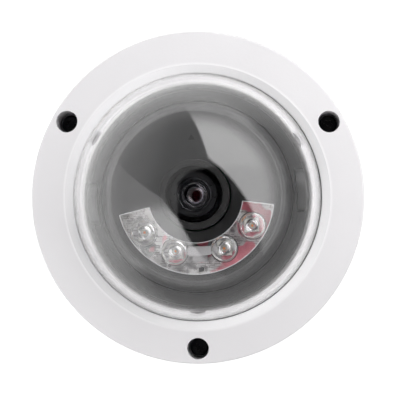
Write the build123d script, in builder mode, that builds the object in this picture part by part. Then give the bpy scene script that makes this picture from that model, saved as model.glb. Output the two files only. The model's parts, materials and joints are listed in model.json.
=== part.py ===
from build123d import *
import math
import os

# Dome camera, millimetres. The mounting face is z = 0 and the dome points up (+Z).

# ---- driving dimensions ----
COVER_R = 65.0          # outside radius of the cover ring
RIM_Z = 29.5            # top of the back box's outer wall
DOME_Z = 52.0           # centre height of the dome, and the tilt axis
BUBBLE_R = 47.9         # outside radius of the clear bubble
BUBBLE_WALL = 3.2
BALL_R = 36.9           # eyeball radius
PAN_REST = 4.0          # the gimbal is parked this many degrees round from +X
FIT = 0.05              # running clearance on a radius
GAP = 0.3               # clearance between separate bodies
SNUG = 0.02             # clearance of a seated piece on a radius

# ---- back box ----
BASE_R = 64.0
FLOOR = 3.5
WALL = 3.0
SPIGOT_R = 54.0         # outside radius of the inner sealing wall
SPIGOT_WALL = 2.2
SPIGOT_Z = 35.0
SEAL_Z = 32.5           # height of the cover seal
SEAL_GROOVE = 2.2
SCREW_PCR = 59.0        # pitch radius of the three cover screws
SCREW_ANGLES = (30, 150, 270)
SCREW_R = 1.95          # M4 shank
MOUNT_PCR = 58.0        # pitch radius of the three mounting holes
MOUNT_ANGLES = (90, 210, 330)
MOUNT_R = 2.25
CONDUIT_Z = 15.0
CONDUIT_R = 9.25        # M20 thread core
CONDUIT_ANGLE = 45
CABLE_R = 9.0           # rear cable hole
CABLE_Y = -24.0

# ---- cover and bubble ----
COVER_Z = RIM_Z + GAP
SHOULDER_Z = 48.3       # top of the cover's straight side
LIP_Z = 52.6            # top of the cover beside the bubble
OPENING_R = 48.2
WELL_R = 4.25           # screw wells
HEAD_R = 3.6
HEAD_H = 2.8
LEDGE_Z = 44.0          # underside of the lip, where the gasket seats
FLANGE_R = 50.6
FLANGE_Z = 41.0
FLANGE_T = 2.0
RETAINER_R = 54.0
RETAINER_T = 2.0
RETAINER_PCR = 52.2
SKIRT_BORE_R = 54.4
SKIRT_R = 56.6

# ---- boards ----
BOARD_Z = 6.5
BOARD_T = 1.6
BOARD_R = 44.0
BOARD_TOP = BOARD_Z + BOARD_T

# ---- gimbal ----
PLATE_Z = 22.6
PLATE_T = 2.0
PLATE_R = 49.6
PLATE_ANGLES = (30, 150, 270)
PAN_Z = PLATE_Z + PLATE_T + GAP
PAN_T = 2.4
PAN_R = 45.0
PAN_BORE_R = 32.0
ARM_IN = 38.3           # inner face of each yoke arm
ARM_OUT = 42.2
ARM_HALF = 8.0
CRADLE_R = 39.0
CRADLE_FLAT = 37.9
PIVOT_R = 2.0

# ---- camera head, heights measured from the tilt axis ----
WINDOW_IN = 17.5
WINDOW_OUT = 29.4
WINDOW_SPAN = 159.6
WINDOW_MID = 270.0
CUP_R = 5.2
CUP_SPOTS = ((23.8, -58.2), (22.3, -24.4), (22.3, 24.4), (23.8, 58.2))
LED_BOARD_Z = 12.0
HOOD_IN = 10.2
HOOD_OUT = 12.8
HOOD_TOP = 33.0
HOLE_R = 13.4
BARREL_R = 8.2
BARREL_TOP = 31.5
GLASS_R = 4.5

os.makedirs("parts", exist_ok=True)


def save(shape, label):
    """Label one finished piece and write its STEP file."""
    shape.label = label
    export_step(shape, f"parts/{label}.step")


def polar(radius, angle):
    """Point on a circle, angle in degrees from +X."""
    turn = math.radians(angle)
    return (radius * math.cos(turn), radius * math.sin(turn))


def gimbal(shape):
    """Turn a piece of the gimbal to its parked pan angle."""
    return shape.rotate(Axis.Z, PAN_REST)


def ring(r_in, r_out, low, high):
    """Plain ring or tube about Z, drawn in the current part."""
    with BuildSketch(Plane.XY.offset(low)) as profile:
        Circle(r_out)
        Circle(r_in, mode=Mode.SUBTRACT)
    extrude(profile.sketch, amount=high - low)


def disc(radius, low, high, mode=Mode.ADD):
    """Plain disc about Z, drawn in the current part."""
    with BuildSketch(Plane.XY.offset(low)) as profile:
        Circle(radius)
    extrude(profile.sketch, amount=high - low, mode=mode)


def posts(radius, spots, low, high, mode=Mode.ADD):
    """Round posts or holes at a list of (x, y) points."""
    with BuildSketch(Plane.XY.offset(low)) as profile:
        with Locations(*spots):
            Circle(radius)
    extrude(profile.sketch, amount=high - low, mode=mode)


def block(size_x, size_y, low, high, spot=(0, 0), angle=0, mode=Mode.ADD):
    """Upright block centred on a point."""
    with BuildSketch(Plane.XY.offset(low)) as profile:
        with Locations(Location((*spot, 0), angle)):
            Rectangle(size_x, size_y)
    extrude(profile.sketch, amount=high - low, mode=mode)


def cross_recess(spots, low, length, width, depth):
    """Cross-shaped driver recesses cut at a list of points."""
    with BuildSketch(Plane.XY.offset(low)) as recess:
        with Locations(*spots):
            Rectangle(length, width)
            Rectangle(width, length)
    extrude(recess.sketch, amount=depth, mode=Mode.SUBTRACT)


def turned(points, mode=Mode.ADD):
    """Solid of revolution about Z from an (r, z) outline."""
    with BuildSketch(Plane.XZ) as profile:
        with BuildLine():
            Polyline(*points, close=True)
        make_face()
    revolve(profile.sketch, axis=Axis.Z, mode=mode)


def circle_spots(radius, angles):
    return [polar(radius, angle) for angle in angles]


screw_spots = circle_spots(SCREW_PCR, SCREW_ANGLES)
mount_spots = circle_spots(MOUNT_PCR, MOUNT_ANGLES)
board_spots = circle_spots(40.0, (20, 110, 200, 290))
plate_spots = circle_spots(47.2, PLATE_ANGLES)
keeper_spots = circle_spots(47.6, MOUNT_ANGLES)
retainer_spots = circle_spots(RETAINER_PCR, range(0, 360, 60))

# ================= back box =================

with BuildPart() as base:
    disc(BASE_R, 0, FLOOR)
    ring(BASE_R - WALL, BASE_R, FLOOR, RIM_Z)
    ring(SPIGOT_R - SPIGOT_WALL, SPIGOT_R, FLOOR, SPIGOT_Z)
    # cover screw bosses stand between the two walls
    posts(4.2, screw_spots, FLOOR, RIM_Z)
    for angle in SCREW_ANGLES:
        block(9.0, 2.4, FLOOR, RIM_Z - 6, polar(57.2, angle), angle)
    # tubular boss for the side conduit
    side = Plane(origin=(0, 0, CONDUIT_Z), x_dir=(0, 0, 1),
                 z_dir=(*polar(1, CONDUIT_ANGLE), 0))
    with BuildSketch(side.offset(SPIGOT_R - 2.0)):
        Circle(CONDUIT_R + 2.4)
    extrude(amount=BASE_R - SPIGOT_R)
    with BuildSketch(side.offset(SPIGOT_R - 8.0)):
        Circle(CONDUIT_R)
    extrude(amount=BASE_R - SPIGOT_R + 10.0, mode=Mode.SUBTRACT)
    # board posts and gimbal posts
    posts(2.8, board_spots, FLOOR, BOARD_Z)
    posts(2.6, plate_spots, FLOOR, PLATE_Z)
    for angle in PLATE_ANGLES:
        block(4.0, 2.0, FLOOR, PLATE_Z, polar(50.0, angle), angle)
    posts(SCREW_R + FIT, screw_spots, RIM_Z - 12.0, RIM_Z, Mode.SUBTRACT)
    posts(1.25, board_spots, 0.8, BOARD_Z, Mode.SUBTRACT)
    posts(1.25, plate_spots, PLATE_Z - 9.0, PLATE_Z, Mode.SUBTRACT)
    posts(MOUNT_R, mount_spots, 0, FLOOR, Mode.SUBTRACT)
    posts(CABLE_R, [(0, CABLE_Y)], 0, FLOOR, Mode.SUBTRACT)
    # groove for the cover seal
    with BuildSketch(Plane.XY.offset(SEAL_Z - SEAL_GROOVE / 2)):
        Circle(SPIGOT_R + 0.6)
        Circle(SPIGOT_R - 1.2, mode=Mode.SUBTRACT)
    extrude(amount=SEAL_GROOVE, mode=Mode.SUBTRACT)
save(base.part, "base")

with BuildPart() as cover_seal:
    with BuildSketch(Plane.XZ):
        with Locations((SPIGOT_R - 0.7, SEAL_Z)):
            Ellipse(0.85, 1.05)
    revolve(axis=Axis.Z)
    disc(SPIGOT_R - 1.2, SEAL_Z - 2, SEAL_Z + 2, Mode.SUBTRACT)
save(cover_seal.part, "cover_seal")

with BuildPart() as conduit_plug:
    with BuildSketch(side.offset(SPIGOT_R - 2.0)):
        Circle(CONDUIT_R - FIT)
        Circle(CONDUIT_R - 3.0, mode=Mode.SUBTRACT)
    extrude(amount=BASE_R - SPIGOT_R - 1.0)
    with BuildSketch(side.offset(BASE_R - 3.0)):
        Circle(CONDUIT_R - FIT)
    extrude(amount=2.6)
    with BuildSketch(side.offset(BASE_R - 1.6)):
        Rectangle(12.0, 2.0)
    extrude(amount=1.2, mode=Mode.SUBTRACT)
save(conduit_plug.part, "conduit_plug")

with BuildPart() as cable_grommet:
    turned([(3.0, 0.4), (CABLE_R - FIT, 0.4), (CABLE_R - FIT, FLOOR), (CABLE_R + 2.0, FLOOR),
            (CABLE_R + 1.0, FLOOR + 1.4), (5.0, FLOOR + 1.4), (3.0, FLOOR)])
cable_grommet.part.position = (0, CABLE_Y, 0)
save(cable_grommet.part, "cable_grommet")

# ================= boards in the back box =================

PROCESSOR_AT = (-6, 4)
TERMINAL_X = -33.0
RESET_AT = (20.0, -31.0)
HARNESS_AT = (14.0, -15.0)

with BuildPart() as main_board:
    disc(BOARD_R, BOARD_Z, BOARD_TOP)
    posts(1.3, board_spots, BOARD_Z, BOARD_TOP, Mode.SUBTRACT)
    posts(12.0, [(0, CABLE_Y)], BOARD_Z, BOARD_TOP, Mode.SUBTRACT)
save(main_board.part, "main_board")


def pan_head_screws(spots, seat, shank_r, head_r, head_h, length, drive_r):
    """Round-headed screws, heads standing on the seat, shanks below it."""
    posts(head_r, spots, seat, seat + head_h)
    heads = faces().filter_by(Axis.Z).group_by(Axis.Z)[-1].edges()
    fillet(heads, head_h * 0.35)
    posts(shank_r, spots, seat - length, seat)
    cross_recess(spots, seat + head_h * 0.35, drive_r * 2, drive_r * 0.5, head_h)


with BuildPart() as board_screws:
    pan_head_screws(board_spots, BOARD_TOP, 1.2, 2.3, 1.7, 5.5, 1.3)
save(board_screws.part, "board_screws")

with BuildPart() as processor:
    block(14.0, 14.0, BOARD_TOP, BOARD_TOP + 1.2, PROCESSOR_AT)
    chamfer(edges().filter_by(Axis.Z), 0.4)
save(processor.part, "processor")

with BuildPart() as heat_sink:
    block(14.0, 14.0, BOARD_TOP + 1.2, BOARD_TOP + 2.2, PROCESSOR_AT)
    with BuildSketch(Plane.XY.offset(BOARD_TOP + 2.2)):
        with Locations(PROCESSOR_AT):
            with GridLocations(2.5, 1.0, 6, 1):
                Rectangle(0.9, 14.0)
    extrude(amount=1.4)
save(heat_sink.part, "heat_sink")

with BuildPart() as network_jack:
    block(16.0, 15.5, BOARD_TOP, BOARD_TOP + 13.0, (0, 35.0))
    block(12.0, 12.0, BOARD_TOP + 2.5, BOARD_TOP + 10.5, (0, 38.5), mode=Mode.SUBTRACT)
    block(6.0, 12.0, BOARD_TOP + 1.2, BOARD_TOP + 2.5, (0, 38.5), mode=Mode.SUBTRACT)
save(network_jack.part, "network_jack")

with BuildPart() as network_transformer:
    block(12.0, 9.0, BOARD_TOP, BOARD_TOP + 4.2, (0, 20.0))
    chamfer(edges().group_by(Axis.Z)[-1], 0.5)
save(network_transformer.part, "network_transformer")

with BuildPart() as power_terminal:
    block(10.2, 8.0, BOARD_TOP, BOARD_TOP + 9.0, (TERMINAL_X, 14.0), 90)
    posts(1.5, [(TERMINAL_X, 11.5), (TERMINAL_X, 16.5)], BOARD_TOP + 5.0, BOARD_TOP + 9.0, Mode.SUBTRACT)
save(power_terminal.part, "power_terminal")

with BuildPart() as card_socket:
    block(15.0, 14.0, BOARD_TOP, BOARD_TOP + 1.9, (31.0, 2.0))
    block(12.0, 13.0, BOARD_TOP + 0.5, BOARD_TOP + 1.4, (33.0, 2.0), mode=Mode.SUBTRACT)
save(card_socket.part, "card_socket")

with BuildPart() as memory_card:
    block(14.0, 11.0, BOARD_TOP + 0.6, BOARD_TOP + 1.3, (34.2, 2.0))
    chamfer(edges().filter_by(Axis.Z).group_by(Axis.X)[0], 1.0)
save(memory_card.part, "memory_card")

with BuildPart() as reset_switch:
    block(6.0, 6.0, BOARD_TOP, BOARD_TOP + 3.0, RESET_AT)
    posts(1.5, [RESET_AT], BOARD_TOP + 1.0, BOARD_TOP + 3.0, Mode.SUBTRACT)
save(reset_switch.part, "reset_switch")

with BuildPart() as reset_button:
    posts(1.45, [RESET_AT], BOARD_TOP + 1.6, BOARD_TOP + 4.6)
    fillet(edges().group_by(Axis.Z)[-1], 0.3)
save(reset_button.part, "reset_button")

with BuildPart() as capacitors:
    posts(3.1, [(-24.0, -26.0), (-30.0, -20.0)], BOARD_TOP, BOARD_TOP + 7.0)
    fillet(edges().group_by(Axis.Z)[-1], 0.5)
save(capacitors.part, "capacitors")

with BuildPart() as harness_connector:
    block(10.0, 4.0, BOARD_TOP, BOARD_TOP + 4.0, HARNESS_AT)
    block(8.6, 2.6, BOARD_TOP + 1.0, BOARD_TOP + 4.0, HARNESS_AT, mode=Mode.SUBTRACT)
save(harness_connector.part, "harness_connector")

# ================= fixed gimbal plate =================

KEEPER_Z = PAN_Z + PAN_T + GAP
KEEPER_T = 1.6
with BuildPart() as gimbal_plate:
    ring(PAN_BORE_R, PLATE_R, PLATE_Z, PLATE_Z + PLATE_T)
    posts(1.3, plate_spots, PLATE_Z, PLATE_Z + PLATE_T, Mode.SUBTRACT)
    # three bosses carry the ring that keeps the pan ring down
    posts(1.8, keeper_spots, PLATE_Z + PLATE_T, KEEPER_Z)
    posts(1.05, keeper_spots, PLATE_Z, KEEPER_Z, Mode.SUBTRACT)
save(gimbal_plate.part, "gimbal_plate")

with BuildPart() as gimbal_plate_screws:
    pan_head_screws(plate_spots, PLATE_Z + PLATE_T, 1.2, 1.8, 1.4, 8.0, 1.2)
save(gimbal_plate_screws.part, "gimbal_plate_screws")

with BuildPart() as pan_keeper:
    ring(44.2, PLATE_R, KEEPER_Z, KEEPER_Z + KEEPER_T)
    posts(1.1, keeper_spots, KEEPER_Z, KEEPER_Z + KEEPER_T, Mode.SUBTRACT)
save(pan_keeper.part, "pan_keeper")

with BuildPart() as pan_keeper_screws:
    pan_head_screws(keeper_spots, KEEPER_Z + KEEPER_T, 1.0, 1.8, 1.3, 5.0, 1.0)
save(pan_keeper_screws.part, "pan_keeper_screws")

# ================= cover and bubble =================

CONE_OUT = (64.2, 49.2)
CONE_IN = (51.6, 52.4)
LIP_ROUND = 0.5
LIP_EDGE = (OPENING_R + LIP_ROUND, 51.9)
slope = (CONE_OUT[1] - CONE_IN[1]) / (CONE_OUT[0] - CONE_IN[0])


def cover_top(radius):
    """Height of the cover's sloping top face."""
    return CONE_IN[1] + slope * (radius - CONE_IN[0])


with BuildPart() as cover:
    with BuildSketch(Plane.XZ):
        with BuildLine():
            Line((COVER_R, COVER_Z), (COVER_R, SHOULDER_Z))
            TangentArc((COVER_R, SHOULDER_Z), CONE_OUT, tangent=(0, 1))
            Line(CONE_OUT, CONE_IN)
            Line(CONE_IN, LIP_EDGE)
            RadiusArc(LIP_EDGE, (OPENING_R, LIP_EDGE[1] - LIP_ROUND), -LIP_ROUND)
            Polyline((OPENING_R, LIP_EDGE[1] - LIP_ROUND), (OPENING_R, LEDGE_Z), (FLANGE_R, LEDGE_Z),
                     (FLANGE_R, FLANGE_Z), (SKIRT_BORE_R, FLANGE_Z), (SKIRT_BORE_R, COVER_Z + 0.2),
                     (SKIRT_R, COVER_Z + 0.2), (SKIRT_R, 47.4), (60.0, 46.6),
                     (COVER_R - WALL, 45.4), (COVER_R - WALL, COVER_Z), (COVER_R, COVER_Z))
        make_face()
    revolve(axis=Axis.Z)
    # screw wells
    posts(WELL_R + 1.5, screw_spots, COVER_Z, cover_top(SCREW_PCR) - 1.5)
    disc(SKIRT_BORE_R, COVER_Z, FLANGE_Z, Mode.SUBTRACT)
    posts(WELL_R, screw_spots, COVER_Z + 2.0, LIP_Z, Mode.SUBTRACT)
    posts(SCREW_R + FIT, screw_spots, COVER_Z, COVER_Z + 2.0, Mode.SUBTRACT)
    posts(0.95, retainer_spots, FLANGE_Z, FLANGE_Z + 5.0, Mode.SUBTRACT)
save(cover.part, "cover")

with BuildPart() as bubble:
    inner = BUBBLE_R - BUBBLE_WALL
    with BuildSketch(Plane.XZ):
        with BuildLine():
            Polyline((FLANGE_R - 0.1, FLANGE_Z), (FLANGE_R - 0.1, FLANGE_Z + FLANGE_T),
                     (BUBBLE_R, FLANGE_Z + FLANGE_T), (BUBBLE_R, DOME_Z))
            CenterArc((0, DOME_Z), BUBBLE_R, 0, 90)
            Line((0, DOME_Z + BUBBLE_R), (0, DOME_Z + inner))
            CenterArc((0, DOME_Z), inner, 0, 90)
            Polyline((inner, DOME_Z), (inner, FLANGE_Z), (FLANGE_R - 0.1, FLANGE_Z))
        make_face()
    revolve(axis=Axis.Z)
save(bubble.part, "bubble")

with BuildPart() as bubble_gasket:
    ring(BUBBLE_R + 0.1, FLANGE_R - 0.1, FLANGE_Z + FLANGE_T, LEDGE_Z)
    fillet(edges().group_by(Axis.Z)[-1], 0.25)
save(bubble_gasket.part, "bubble_gasket")

with BuildPart() as bubble_retainer:
    ring(46.0, RETAINER_R, FLANGE_Z - RETAINER_T, FLANGE_Z)
    posts(1.15, retainer_spots, FLANGE_Z - RETAINER_T, FLANGE_Z, Mode.SUBTRACT)
    chamfer(edges().group_by(Axis.Z)[0].sort_by(SortBy.LENGTH)[-1], 0.4)
save(bubble_retainer.part, "bubble_retainer")

with BuildPart() as bubble_screws:
    seat = FLANGE_Z - RETAINER_T
    head_h = 1.4
    posts(1.7, retainer_spots, seat - head_h, seat)
    fillet(edges().group_by(Axis.Z)[0], 0.5)
    posts(0.9, retainer_spots, seat, seat + 5.5)
    cross_recess(retainer_spots, seat - head_h, 2.0, 0.5, 0.8)
save(bubble_screws.part, "bubble_screws")

with BuildPart() as cover_screws:
    seat = COVER_Z + 2.0
    posts(HEAD_R, screw_spots, seat, seat + HEAD_H)
    fillet(faces().filter_by(Axis.Z).group_by(Axis.Z)[-1].edges(), 0.8)
    posts(SCREW_R, screw_spots, seat - 11.0, seat)
    # six-lobed security drive with a centre pin
    with BuildSketch(Plane.XY.offset(seat + HEAD_H - 1.8)):
        with Locations(*screw_spots):
            Circle(1.45)
            with PolarLocations(1.45, 6):
                Circle(0.45)
            Circle(0.5, mode=Mode.SUBTRACT)
    extrude(amount=2.0, mode=Mode.SUBTRACT)
save(cover_screws.part, "cover_screws")

with BuildPart() as screw_clips:
    # split washers that keep the screws captive in the cover
    with BuildSketch(Plane.XY.offset(COVER_Z - 0.05 - 0.2)):
        with Locations(*screw_spots):
            Circle(2.9)
    extrude(amount=0.2)
    posts(SCREW_R, screw_spots, COVER_Z - 0.3, COVER_Z, Mode.SUBTRACT)
save(screw_clips.part, "screw_clips")

# ================= pan ring, yoke and liner =================

PAN_TOP = PAN_Z + PAN_T
FOOT_T = 2.4
LINER_OUT = 43.9
LINER_IN = 43.1
LINER_TOP = 44.0
LIP_IN = 40.2
foot_spots = [(x, y) for x in (-36.2, 36.2) for y in (-5.0, 5.0)]

with BuildPart() as pan_ring:
    ring(PAN_BORE_R, PAN_R, PAN_Z, PAN_TOP)
    posts(0.85, foot_spots, PAN_Z, PAN_TOP, Mode.SUBTRACT)
save(gimbal(pan_ring.part), "pan_ring")


def yoke_arm(side):
    """One yoke arm; side is +1 on +X and -1 on -X."""
    with BuildPart() as arm:
        with BuildSketch(Plane.YZ.offset(side * ARM_IN)):
            with Locations((0, (PAN_TOP + DOME_Z) / 2)):
                Rectangle(ARM_HALF * 2, DOME_Z - PAN_TOP)
            with Locations((0, DOME_Z)):
                Circle(ARM_HALF)
        extrude(amount=side * (ARM_OUT - ARM_IN))
        fillet(edges().filter_by(GeomType.CIRCLE).group_by(Axis.X)[-1 if side > 0 else 0], 0.8)
        block(8.0, ARM_HALF * 2, PAN_TOP, PAN_TOP + FOOT_T, (side * 37.8, 0))
        posts(0.95, foot_spots, PAN_TOP, PAN_TOP + FOOT_T, Mode.SUBTRACT)
        with BuildSketch(Plane.YZ.offset(side * ARM_IN)):
            with Locations((0, DOME_Z)):
                Circle(PIVOT_R + FIT)
        extrude(amount=side * 6, mode=Mode.SUBTRACT)
        with BuildSketch(Plane.YZ.offset(side * (ARM_OUT - 1.6))):
            with Locations((0, DOME_Z)):
                Circle(3.7)
        extrude(amount=side * 4, mode=Mode.SUBTRACT)
    return arm.part


save(gimbal(yoke_arm(1)), "yoke_right")
save(gimbal(yoke_arm(-1)), "yoke_left")

with BuildPart() as yoke_screws:
    pan_head_screws(foot_spots, PAN_TOP + FOOT_T, 0.8, 1.5, 1.1, 4.6, 0.9)
save(gimbal(yoke_screws.part), "yoke_screws")

with BuildPart() as inner_liner:
    ring(LINER_IN, LINER_OUT, PAN_TOP, LINER_TOP)
    ring(LIP_IN, LINER_OUT, LINER_TOP - 0.9, LINER_TOP)
    block(12.0, ARM_HALF * 2 + 1.0, LINER_TOP - 1.0, LINER_TOP, (LIP_IN, 0), mode=Mode.SUBTRACT)
    block(12.0, ARM_HALF * 2 + 1.0, LINER_TOP - 1.0, LINER_TOP, (-LIP_IN, 0), mode=Mode.SUBTRACT)
save(gimbal(inner_liner.part), "inner_liner")

# ================= tilt cradle =================

LEDGE_IN = 34.0
LEDGE_TOP = 2.6
CRADLE_IN = 37.2
CRADLE_TOP = 5.0
CRADLE_LOW = -7.0
SPLIT_R = 35.9          # inner radius of the joint between tilt ring and rear shell
SEAT_T = 1.6            # thickness of the rear shell's joint flange
FLAT_CUT = 4.0
REAR_R = 39.1
REAR_WALL = 1.8
REAR_CUT = -26.0
REAR_HOLE_R = 9.0       # hole for the ribbon cable
cradle_spots = circle_spots(37.2, (45, 135, 225, 315))


def tilt_z(height):
    """Height above the mounting face of a height measured from the tilt axis."""
    return DOME_Z + height


def side_flats(low, high):
    """Flatten both sides where the yoke arms pass."""
    for side_x in (-1, 1):
        spot = (side_x * (CRADLE_FLAT + FLAT_CUT / 2), 0)
        block(FLAT_CUT, 40.0, low, high, spot, mode=Mode.SUBTRACT)


with BuildPart() as tilt_ring:
    turned([(LEDGE_IN, tilt_z(-5.0)), (SPLIT_R, tilt_z(-5.0)), (SPLIT_R, tilt_z(CRADLE_LOW)),
            (CRADLE_R, tilt_z(CRADLE_LOW)), (CRADLE_R, tilt_z(CRADLE_TOP)),
            (CRADLE_IN, tilt_z(CRADLE_TOP)), (CRADLE_IN, tilt_z(LEDGE_TOP)),
            (LEDGE_IN, tilt_z(LEDGE_TOP))])
    side_flats(tilt_z(CRADLE_LOW), tilt_z(CRADLE_TOP))
    with BuildSketch(Plane.YZ.offset(-CRADLE_R)):
        with Locations((0, DOME_Z)):
            Circle(PIVOT_R + SNUG)
    extrude(amount=CRADLE_R * 2, mode=Mode.SUBTRACT)
    posts(0.8, cradle_spots, tilt_z(CRADLE_LOW), tilt_z(-2.0), Mode.SUBTRACT)
save(gimbal(tilt_ring.part), "tilt_ring")

with BuildPart() as rear_shell:
    start = math.degrees(math.asin(-CRADLE_LOW / REAR_R))
    stop = math.degrees(math.asin(-REAR_CUT / REAR_R))
    rear_in = REAR_R - REAR_WALL
    top_out = REAR_R * math.cos(math.radians(start))
    cut_out = REAR_R * math.cos(math.radians(stop))
    cut_in = math.sqrt(rear_in ** 2 - (REAR_CUT + REAR_WALL) ** 2)
    top_in = math.sqrt(rear_in ** 2 - (CRADLE_LOW - SEAT_T) ** 2)
    with BuildSketch(Plane.XZ):
        with BuildLine():
            CenterArc((0, DOME_Z), REAR_R, -stop, stop - start)
            Polyline((top_out, tilt_z(CRADLE_LOW)), (SPLIT_R, tilt_z(CRADLE_LOW)),
                     (SPLIT_R, tilt_z(CRADLE_LOW - SEAT_T)), (top_in, tilt_z(CRADLE_LOW - SEAT_T)))
            RadiusArc((top_in, tilt_z(CRADLE_LOW - SEAT_T)),
                      (cut_in, tilt_z(REAR_CUT + REAR_WALL)), rear_in)
            Polyline((cut_in, tilt_z(REAR_CUT + REAR_WALL)), (REAR_HOLE_R, tilt_z(REAR_CUT + REAR_WALL)),
                     (REAR_HOLE_R, tilt_z(REAR_CUT)), (cut_out, tilt_z(REAR_CUT)))
        make_face()
    revolve(axis=Axis.Z)
    side_flats(tilt_z(-20.0), tilt_z(CRADLE_LOW))
    posts(0.9, cradle_spots, tilt_z(CRADLE_LOW - 1.8), tilt_z(CRADLE_LOW), Mode.SUBTRACT)
    # pockets in the wall for the screw heads
    posts(1.6, cradle_spots, tilt_z(CRADLE_LOW - 8.0), tilt_z(CRADLE_LOW - SEAT_T), Mode.SUBTRACT)
save(gimbal(rear_shell.part), "rear_shell")

with BuildPart() as pivot_screws:
    for side_x in (-1, 1):
        with BuildSketch(Plane.YZ.offset(side_x * (LEDGE_IN + 0.6))):
            with Locations((0, DOME_Z)):
                Circle(PIVOT_R)
        extrude(amount=side_x * (ARM_OUT - 1.3 - LEDGE_IN - 0.6))
        with BuildSketch(Plane.YZ.offset(side_x * (ARM_OUT - 1.3))):
            with Locations((0, DOME_Z)):
                Circle(3.3)
        extrude(amount=side_x * 1.2)
        with BuildSketch(Plane.YZ.offset(side_x * (ARM_OUT - 0.1))):
            with Locations((0, DOME_Z)):
                RegularPolygon(1.4, 6)
        extrude(amount=-side_x * 2.2, mode=Mode.SUBTRACT)
save(gimbal(pivot_screws.part), "pivot_screws")

with BuildPart() as rear_shell_screws:
    low = tilt_z(CRADLE_LOW - SEAT_T)
    posts(1.3, cradle_spots, low - 1.0, low)
    posts(0.8, cradle_spots, low, low + 5.5)
    cross_recess(cradle_spots, low - 1.0, 1.6, 0.4, 0.5)
save(gimbal(rear_shell_screws.part), "rear_shell_screws")

# ================= camera head =================

SENSOR_BOARD_Z = -6.0
SENSOR_BOARD_TOP = -4.4
SKIRT_IN = 31.0
SKIRT_OUT = 33.5
SKIRT_LOW = -5.3
EDGE_Z = 3.0
FACE_R = 31.6
SHELL = 2.0
FACE_SLOPE = 0.2
edge_r = math.sqrt(BALL_R ** 2 - EDGE_Z ** 2)
face_edge_z = math.sqrt(BALL_R ** 2 - FACE_R ** 2)
post_spots = circle_spots(27.5, (30, 90, 150))
clip_spots = circle_spots(32.2, (0, 120, 240))


def face_height(radius):
    """Height of the gently coned front face above the tilt axis."""
    return face_edge_z + FACE_SLOPE * (FACE_R - radius)


def lens(rim_r, low, rim_z, sag):
    """Flat-backed lens element with a spherical crown."""
    crown_r = (rim_r ** 2 + sag ** 2) / (2 * sag)
    with BuildPart() as element:
        disc(rim_r, tilt_z(low), tilt_z(rim_z + sag))
        with Locations((0, 0, tilt_z(rim_z + sag - crown_r))):
            Sphere(crown_r, mode=Mode.INTERSECT)
    return element.part


def window_sector(grow):
    """Arc-shaped window outline with radial ends, grown by a clearance."""
    half = WINDOW_SPAN / 2 + math.degrees(grow / WINDOW_OUT)
    r_in = WINDOW_IN - grow
    r_out = WINDOW_OUT + grow
    first = WINDOW_MID - half
    last = WINDOW_MID + half
    with BuildSketch() as sector:
        with BuildLine():
            CenterArc((0, 0), r_out, first, half * 2)
            Line(polar(r_out, last), polar(r_in, last))
            CenterArc((0, 0), r_in, last, -half * 2)
            Line(polar(r_in, first), polar(r_out, first))
        make_face()
        fillet(sector.vertices(), 0.6 + grow)
    return sector.sketch


with BuildPart() as front_shell:
    with BuildSketch(Plane.XZ):
        with BuildLine():
            Polyline((SKIRT_OUT, tilt_z(EDGE_Z)), (edge_r, tilt_z(EDGE_Z)))
            RadiusArc((edge_r, tilt_z(EDGE_Z)), (FACE_R, tilt_z(face_edge_z)), -BALL_R)
            Polyline((FACE_R, tilt_z(face_edge_z)), (HOLE_R, tilt_z(face_height(HOLE_R))),
                     (HOLE_R, tilt_z(face_height(HOLE_R) - SHELL)),
                     (FACE_R - 1.0, tilt_z(face_height(FACE_R) - SHELL)),
                     (34.2, tilt_z(9.0)), (34.6, tilt_z(5.2)), (SKIRT_IN, tilt_z(5.2)),
                     (SKIRT_IN, tilt_z(SKIRT_LOW)), (SKIRT_OUT, tilt_z(SKIRT_LOW)),
                     (SKIRT_OUT, tilt_z(EDGE_Z)))
        make_face()
    revolve(axis=Axis.Z)
    posts(2.2, post_spots, tilt_z(SENSOR_BOARD_TOP), tilt_z(face_height(27.5) - 1.0))
    posts(0.75, post_spots, tilt_z(SENSOR_BOARD_TOP), tilt_z(4.0), Mode.SUBTRACT)
    posts(0.7, clip_spots, tilt_z(SKIRT_LOW), tilt_z(SKIRT_LOW + 5.0), Mode.SUBTRACT)
    extrude(Plane.XY.offset(tilt_z(10.0)) * window_sector(0.0), amount=20.0, mode=Mode.SUBTRACT)
    # small triangular direction mark pressed into the face, opposite the window
    with BuildSketch(Plane.XY.offset(tilt_z(face_height(21.5) - 0.3))):
        with Locations((0, 21.5)):
            Triangle(a=2.6, b=2.6, c=2.6)
    extrude(amount=4.0, mode=Mode.SUBTRACT)
save(gimbal(front_shell.part), "front_shell")

LAMP_TOP = LED_BOARD_Z + 1.2
CUP_TOP = LAMP_TOP + 4.4
PLATE_CLEAR = 1.4       # thickness of the clear window plate
COLLIMATOR_LOW_R = 3.0
COLLIMATOR_TOP_R = 4.7
COLLIMATOR_SAG = 1.5
with BuildPart() as lamp_board:
    ring(14.5, 30.2, tilt_z(LED_BOARD_Z), tilt_z(LAMP_TOP))
    posts(2.5, post_spots, tilt_z(LED_BOARD_Z), tilt_z(LAMP_TOP), Mode.SUBTRACT)
save(gimbal(lamp_board.part), "lamp_board")

cup_spots = [polar(radius, WINDOW_MID + offset_angle) for radius, offset_angle in CUP_SPOTS]
for index, spot in enumerate(cup_spots, start=1):
    with BuildPart() as lamp_cup:
        turned([(2.4, tilt_z(LAMP_TOP)), (CUP_R - 0.9, tilt_z(LAMP_TOP)), (CUP_R, tilt_z(CUP_TOP)),
                (CUP_R - 0.25, tilt_z(CUP_TOP)), (CUP_R - 0.9, tilt_z(LAMP_TOP + 2.0)),
                (2.7, tilt_z(LAMP_TOP + 0.5))])
    lamp_cup.part.position = (*spot, 0)
    save(gimbal(lamp_cup.part), f"lamp_cup_{index}")

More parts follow.
